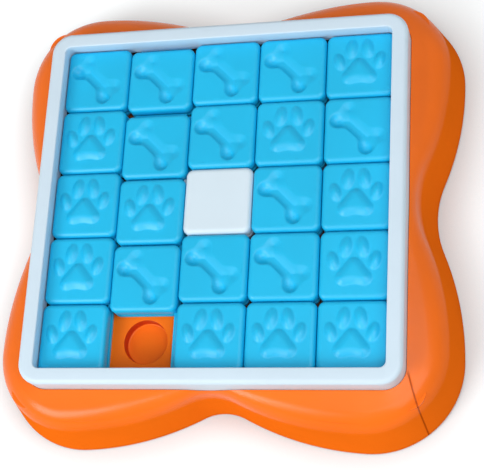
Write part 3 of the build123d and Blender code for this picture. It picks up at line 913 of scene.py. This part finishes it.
def moulded_plastic(name, colour, roughness, tone=0.04, grain=0.1, shine=0.3, matt_below=None):
    """Injection-moulded plastic.

    A broad soft noise shifts the colour a little, a finer one the gloss, and the mould's fine grain is a
    bump. Below the level matt_below the surface has no shine, and its full shine comes over a short rise
    above that.
    """
    material, nodes, surface = new_material(name)
    surface["Specular IOR Level"].default_value = shine
    if matt_below:
        polish = nodes.ranged(nodes.level(), matt_below, matt_below + 0.015, 0, shine,
                              interpolation_type="SMOOTHSTEP")
        nodes.join(polish, surface["Specular IOR Level"])
    dark, light = ([min(c * (1 + change), 1) for c in colour] for change in (-tone, tone))
    nodes.join(nodes.ramp(nodes.noise(22, 3), (0.3, dark), (0.7, light)), surface["Base Color"])
    gloss = nodes.ranged(nodes.noise(90, 4), 0, 1, roughness - 0.05, roughness + 0.05)
    nodes.join(gloss, surface["Roughness"])
    nodes.join(nodes.bump(nodes.noise(1400), 0.0002, grain), surface["Normal"])
    return material


def parts_of(material):
    """The short ways to add to a material, its Principled shader's inputs and its colour so far."""
    surface = material.node_tree.nodes["Principled BSDF"].inputs
    return Nodes(material.node_tree), surface, surface["Base Color"].links[0].from_socket


def add_seam_with_painted_shade(material, way, offset, end, width=0.0007):
    """A fine seam where an upright plane cuts the surface, in front of a level of y.

    The plane is where the point times the plane's direction equals the offset. Near it the surface dips, and
    its colour is darkened there as a painted shade in the seam's crease.
    """
    nodes, surface, tone = parts_of(material)
    grain = surface["Normal"].links[0].from_node
    across = nodes.add("VectorMath", {0: nodes.place(), 1: way}, operation="DOT_PRODUCT").outputs["Value"]
    away = nodes.worked("ABSOLUTE", nodes.worked("SUBTRACT", across, offset))
    behind = nodes.ranged(nodes.level("Y"), end - 0.004, end)
    height = nodes.worked("MAXIMUM", nodes.ranged(away, 0, width), behind)
    nodes.join(nodes.bump(height, width / 2), grain.inputs["Normal"])
    # painted shade: the colour is darkened along the seam's dip
    dark = nodes.mixed("MULTIPLY", 1.0, tone, (0.45, 0.3, 0.3, 1))
    nodes.join(nodes.mixed("MIX", height, dark, tone), surface["Base Color"])


def add_painted_shade_band(material, low, high, tint):
    """Painted shade: a tint that darkens the colour between two levels, but not on them."""
    nodes, surface, tone = parts_of(material)
    plain = (1, 1, 1)
    share = nodes.ranged(nodes.level(), low, high)
    shade_band = nodes.ramp(share, (0.02, plain), (0.1, tint), (0.93, tint), (0.99, plain))
    nodes.join(nodes.mixed("MULTIPLY", 1.0, tone, shade_band), surface["Base Color"])


def add_crevice_shade(material, tint, distance=0.012):
    """A tint of the colour where little light gets to, such as what shows between the tiles' corners."""
    nodes, surface, tone = parts_of(material)
    shaded = nodes.mixed("MULTIPLY", 1.0, tone, (*tint, 1))
    open_share = nodes.ranged(nodes.openness(distance), 0.1, 0.35)
    nodes.join(nodes.mixed("MIX", open_share, shaded, tone), surface["Base Color"])


def zinc_steel(name):
    """Bright zinc-plated steel, uneven in tone and gloss by one fine noise."""
    material, nodes, surface = new_material(name)
    surface["Metallic"].default_value = 1
    marks = nodes.noise(900)
    nodes.join(nodes.ramp(marks, (0, (0.46, 0.47, 0.48)), (1, (0.66, 0.67, 0.68))), surface["Base Color"])
    nodes.join(nodes.ranged(marks, 0, 1, 0.25, 0.42), surface["Roughness"])
    return material


def shared_material(name, maker, *values, **options):
    """The material of that name, made the first time it is asked for."""
    return bpy.data.materials.get(name) or maker(name, *values, **options)


# ---------------------------------------------------------------- operators


class PUZZLE_OT_base(Operator):
    """Build the orange base: its lobed shell and its floor with the treat cups"""

    bl_idname = "puzzle.base"
    bl_label = "Base"

    def execute(self, context):
        scene = context.scene
        base, ring, tile = scene.puzzle_base, scene.puzzle_frame, scene.puzzle_tile
        orange = shared_material("base_orange", moulded_plastic, scene.puzzle_colours.base, roughness=0.24,
                                 shine=0.27, matt_below=0.029)
        # the seam's crease carries painted shade
        add_seam_with_painted_shade(orange, way=(0.966, 0.26, 0), offset=0.0838, end=-0.102)
        cells = [(index - 2) * tile.pitch for index in range(5)]
        shell = base_shell(base, ring, tile, scene.puzzle_fastenings)
        make_piece("base_shell", shell, BOARD, orange, ["base_tray"])
        inside = shared_material("floor_orange", moulded_plastic, scene.puzzle_colours.base, roughness=0.3,
                                 shine=0.15)
        # painted shade: the cups' walls are tinted a darker red, as if in shade
        add_painted_shade_band(inside, base.deck_level - base.cup_depth, base.deck_level, tint=(0.62, 0.25, 1.0))
        add_crevice_shade(inside, tint=(0.08, 0.15, 1.0))
        make_piece("base_floor", base_floor(base, ring, tile, cells, (0, 0)), BOARD, inside,
                   ["base_tray"])
        return {"FINISHED"}


class PUZZLE_OT_frame(Operator):
    """Build the white frame round the tiles"""

    bl_idname = "puzzle.frame"
    bl_label = "Frame"

    def execute(self, context):
        scene = context.scene
        white = shared_material("frame_white", moulded_plastic, scene.puzzle_colours.frame, roughness=0.4,
                                tone=0.02)
        make_piece("frame_ring", frame_ring(scene.puzzle_base, scene.puzzle_frame, scene.puzzle_tile), BOARD,
                   white, ["frame"])
        return {"FINISHED"}


class PUZZLE_OT_tiles(Operator):
    """Build the blue tiles, each with its sunk bone or raised paw print"""

    bl_idname = "puzzle.tiles"
    bl_label = "Tiles"

    def execute(self, context):
        scene = context.scene
        tile, marks = scene.puzzle_tile, scene.puzzle_marks
        height = block_high.z - block_low.z
        designs = {"bone": tile_surface(tile, marks, bone_relief, height),
                   "paw": tile_surface(tile, marks, paw_relief, height)}
        blue = shared_material("tile_blue", moulded_plastic, scene.puzzle_colours.tile, roughness=0.44,
                               shine=0.5)
        half = tile.size / 2
        for node in TILE_NODES:
            low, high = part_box(node)
            place = (high.x - half, low.y + half, low.z)
            surface = designs[node.split("_")[0]].moved(place)
            make_piece(node + "_moulding", surface, BODY_OF_NODE[node], blue, [node])
        return {"FINISHED"}


class PUZZLE_OT_block(Operator):
    """Build the white block in the middle and its screw"""

    bl_idname = "puzzle.block"
    bl_label = "White block"

    def execute(self, context):
        scene = context.scene
        tile, marks = scene.puzzle_tile, scene.puzzle_marks
        white = shared_material("block_white", moulded_plastic, scene.puzzle_colours.block, roughness=0.4,
                                tone=0.02)
        surface = tile_surface(tile, marks, no_relief, block_high.z - block_low.z).moved((0, 0, block_low.z))
        make_piece("white_block", surface, BOARD, white, ["centre_block"])
        surface = screw_surface(screw_low, screw_high, scene.puzzle_fastenings)
        steel = shared_material("screw_zinc", zinc_steel)
        make_piece("pan_head_screw", surface, BOARD, steel, ["block_screw"])
        return {"FINISHED"}


class PUZZLE_OT_feet(Operator):
    """Build the four rubber feet"""

    bl_idname = "puzzle.feet"
    bl_label = "Feet"

    def execute(self, context):
        scene = context.scene
        rubber = shared_material("foot_rubber", moulded_plastic, scene.puzzle_colours.rubber, roughness=0.82,
                                 tone=0.2, grain=0.35)
        for node in FOOT_NODES:
            surface = foot_surface(*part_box(node), scene.puzzle_fastenings)
            make_piece(node + "_pad", surface, BOARD, rubber, [node])
        return {"FINISHED"}


class PUZZLE_OT_stage(Operator):
    """Set up the pale floor, the soft lamps and the camera"""

    bl_idname = "puzzle.stage"
    bl_label = "Stage"

    def execute(self, context):
        scene = context.scene
        self.floor(scene)
        self.world(scene)
        self.lamps(scene)
        self.camera(scene)
        scene.view_settings.view_transform = "Standard"
        return {"FINISHED"}

    def floor(self, scene):
        """A wide plane that looks white to the camera where nothing shades it.

        Its glow grows with the distance from the toy, as the lamps' light falls off, and fades where the
        toy stands close to it, which paints a soft contact shadow round the toy.
        """
        reach = 4.0
        corners = [(-reach, -reach, 0), (reach, -reach, 0), (reach, reach, 0), (-reach, reach, 0)]
        mesh = bpy.data.meshes.new("floor")
        mesh.from_pydata(corners, [], [(0, 1, 2, 3)])
        material, nodes, surface = new_material("floor_paper")
        surface["Base Color"].default_value = (0.66, 0.70, 0.71, 1)
        surface["Roughness"].default_value = 1
        surface["Specular IOR Level"].default_value = 0
        away = nodes.add("VectorMath", {0: nodes.place()}, operation="LENGTH").outputs["Value"]
        glow = nodes.ranged(away, 0.13, 0.9, 0.42, 0.86)
        # painted shadow: the glow is dimmed where the toy stands close to the floor, as a soft contact shadow
        outside_painted_shadow = nodes.ranged(nodes.openness(0.03), 0.5, 1.0)
        strength = nodes.worked("MULTIPLY", nodes.seen(), nodes.worked("MULTIPLY", glow, outside_painted_shadow))
        light = nodes.add("Emission", {"Strength": strength}).outputs[0]
        paper = nodes.nodes["Principled BSDF"].outputs[0]
        both = nodes.add("AddShader", {0: paper, 1: light}).outputs[0]
        nodes.join(both, nodes.nodes["Material Output"].inputs["Surface"])
        mesh.materials.append(material)
        floor = bpy.data.objects.new("floor", mesh)
        scene.collection.objects.link(floor)

    def world(self, scene):
        """An even pale surround, which is white to the camera."""
        world = bpy.data.worlds.new("surround")
        world.use_nodes = True
        nodes = Nodes(world.node_tree)
        surround = world.node_tree.nodes["Background"].inputs
        surround["Color"].default_value = (1, 1, 1, 1)
        nodes.join(nodes.ranged(nodes.seen(), 0, 1, 0.22, 1.0), surround["Strength"])
        scene.world = world

    def lamps(self, scene):
        """Square area lamps that face the toy, each with a place, a width and a power."""
        target = Vector((0, 0, 0.037))
        for name, place, width, power in (
            ("key_lamp", (-0.88, -1.06, 1.12), 0.8, 18.0),
            ("fill_lamp", (0.65, -0.4, 1.45), 1.4, 17.0),
        ):
            lamp = bpy.data.lights.new(name, "AREA")
            lamp.shape, lamp.size, lamp.energy = "SQUARE", width, power
            holder = bpy.data.objects.new(name, lamp)
            holder.location = place
            holder.rotation_mode = "QUATERNION"
            holder.rotation_quaternion = (target - holder.location).to_track_quat("-Z", "Y")
            scene.collection.objects.link(holder)

    def camera(self, scene):
        """A long lens that looks down on the toy's front right corner, a little rolled."""
        data = bpy.data.cameras.new("camera")
        data.sensor_width, data.lens = 36.0, 96.69
        data.clip_start, data.clip_end = 0.01, 20
        camera = bpy.data.objects.new("camera", data)
        place, degrees = (0.2049, -0.2651, 0.7508), (19.2851, 13.9775, 3.2155)
        turn = Euler([math.radians(angle) for angle in degrees]).to_matrix().to_4x4()
        camera.matrix_world = Matrix.Translation(place) @ turn
        scene.collection.objects.link(camera)
        scene.camera = camera


PIECES = (PUZZLE_OT_base, PUZZLE_OT_frame, PUZZLE_OT_tiles, PUZZLE_OT_block, PUZZLE_OT_feet, PUZZLE_OT_stage)


class PUZZLE_PT_sidebar(Panel):
    """Lists the toy's pieces, sizes and colours"""

    bl_idname = "PUZZLE_PT_sidebar"
    bl_label = "Treat puzzle"
    bl_space_type = "VIEW_3D"
    bl_region_type = "UI"
    bl_category = "Treat puzzle"

    def draw(self, context):
        layout = self.layout
        for piece in PIECES:
            layout.operator(piece.bl_idname)
        for title, group in GROUPS.items():
            layout.label(text=title)
            values = getattr(context.scene, group[0])
            for name in group[1].__annotations__:
                layout.prop(values, name)


GROUPS = {
    "Base": ("puzzle_base", PuzzleBase),
    "Frame": ("puzzle_frame", PuzzleFrame),
    "Tiles": ("puzzle_tile", PuzzleTile),
    "Marks": ("puzzle_marks", PuzzleMarks),
    "Feet and screw": ("puzzle_fastenings", PuzzleFastenings),
    "Colours": ("puzzle_colours", PuzzleColours),
}


def register():
    """Register the classes and hang the property groups on the scene."""
    for name, group in GROUPS.values():
        bpy.utils.register_class(group)
        setattr(bpy.types.Scene, name, PointerProperty(type=group))
    for item in (*PIECES, PUZZLE_PT_sidebar):
        bpy.utils.register_class(item)


def unregister():
    """Undo register."""
    for item in (PUZZLE_PT_sidebar, *reversed(PIECES)):
        bpy.utils.unregister_class(item)
    for name, group in GROUPS.values():
        delattr(bpy.types.Scene, name)
        bpy.utils.unregister_class(group)


def main():
    """Build every piece."""
    register()
    for piece in PIECES:
        area, name = piece.bl_idname.split(".")
        getattr(getattr(bpy.ops, area), name)()


if __name__ == "__main__":
    main()
